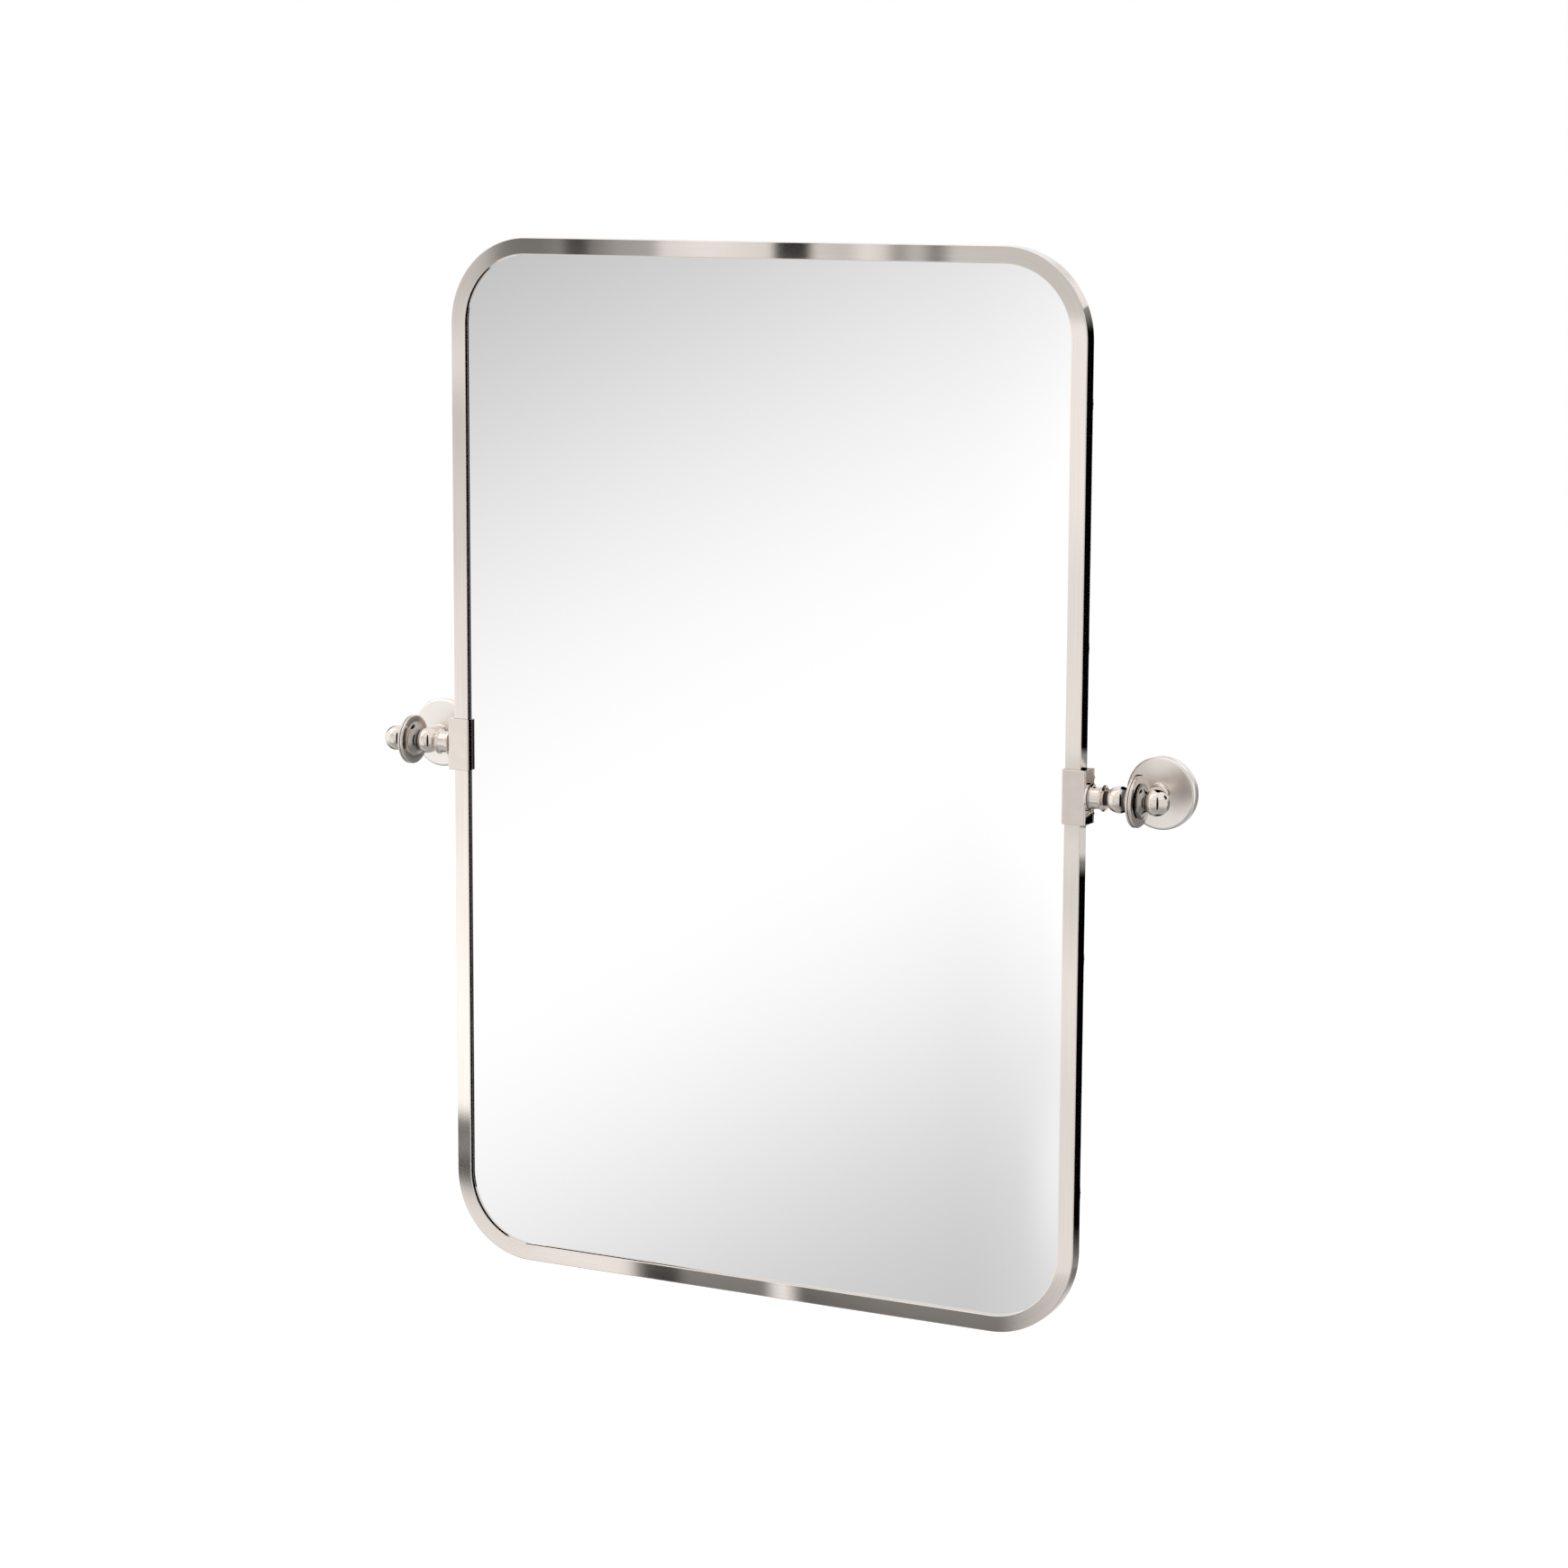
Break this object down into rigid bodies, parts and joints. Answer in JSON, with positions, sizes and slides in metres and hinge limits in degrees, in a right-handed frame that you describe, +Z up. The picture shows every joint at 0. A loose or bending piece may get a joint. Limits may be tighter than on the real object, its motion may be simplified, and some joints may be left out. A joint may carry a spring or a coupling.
{
  "type": "pivot wall mirror",
  "caption": "Wall mirror in a rounded nickel frame that tilts between two turned wall brackets with disc hubs and ball knobs.",
  "frame": {"origin": "on the wall plane, midway between the two wall brackets, at the height of the pivot axis: the centre of the wall screw pattern", "axes": "+Z up, +Y into the wall, +X to the right seen from the room; the mirror faces -Y"},
  "size_m": [0.769, 0.077, 0.914],
  "materials": {
    "brushed_nickel": "nickel plate, finely brushed along the bar",
    "polished_nickel": "polished nickel plate on brass",
    "zinc_steel": "zinc-plated steel",
    "mirror": "silvered float glass",
    "hardboard": "hardboard, smooth side out",
    "foam": "black closed-cell foam",
    "bumper": "clear soft polyurethane",
    "black_nylon": "black nylon"
  },
  "bodies": {
    "wall_brackets": {"left_hub": "polished_nickel", "right_hub": "polished_nickel", "left_spring_washer": "zinc_steel", "right_spring_washer": "zinc_steel", "left_post": "polished_nickel", "right_post": "polished_nickel", "left_post_screw": "zinc_steel", "right_post_screw": "zinc_steel", "left_escutcheon": "polished_nickel", "right_escutcheon": "polished_nickel", "left_set_screw": "zinc_steel", "right_set_screw": "zinc_steel", "left_mounting_plate": "zinc_steel", "right_mounting_plate": "zinc_steel"},
    "mirror": {"frame": "brushed_nickel", "mirror_glass": "mirror", "foam_tape": "foam", "backing_board": "hardboard", "retaining_tabs": "zinc_steel", "tab_screws": "zinc_steel", "wall_bumpers": "bumper", "left_clip": "polished_nickel", "right_clip": "polished_nickel", "left_clip_plate": "polished_nickel", "right_clip_plate": "polished_nickel", "left_clip_screws": "zinc_steel", "right_clip_screws": "zinc_steel", "left_boss": "polished_nickel", "right_boss": "polished_nickel", "left_stud": "zinc_steel", "right_stud": "zinc_steel", "left_friction_washer": "black_nylon", "right_friction_washer": "black_nylon"},
    "knob_left": {"left_knob": "polished_nickel"},
    "knob_right": {"right_knob": "polished_nickel"}
  },
  "joints": [
    {"name": "mirror_tilt", "type": "hinge", "parent": "wall_brackets", "child": "mirror", "pos_m": [0, -0.055, 0], "axis": [1, 0, 0], "range_deg": [-5.8, 5.8]},
    {"name": "left_knob_turn", "type": "hinge", "parent": "mirror", "child": "knob_left", "pos_m": [-0.3535, -0.055, 0], "axis": [-1, 0, 0], "range_deg": [0, 180]},
    {"name": "right_knob_turn", "type": "hinge", "parent": "mirror", "child": "knob_right", "pos_m": [0.3535, -0.055, 0], "axis": [1, 0, 0], "range_deg": [0, 180]}
  ]
}
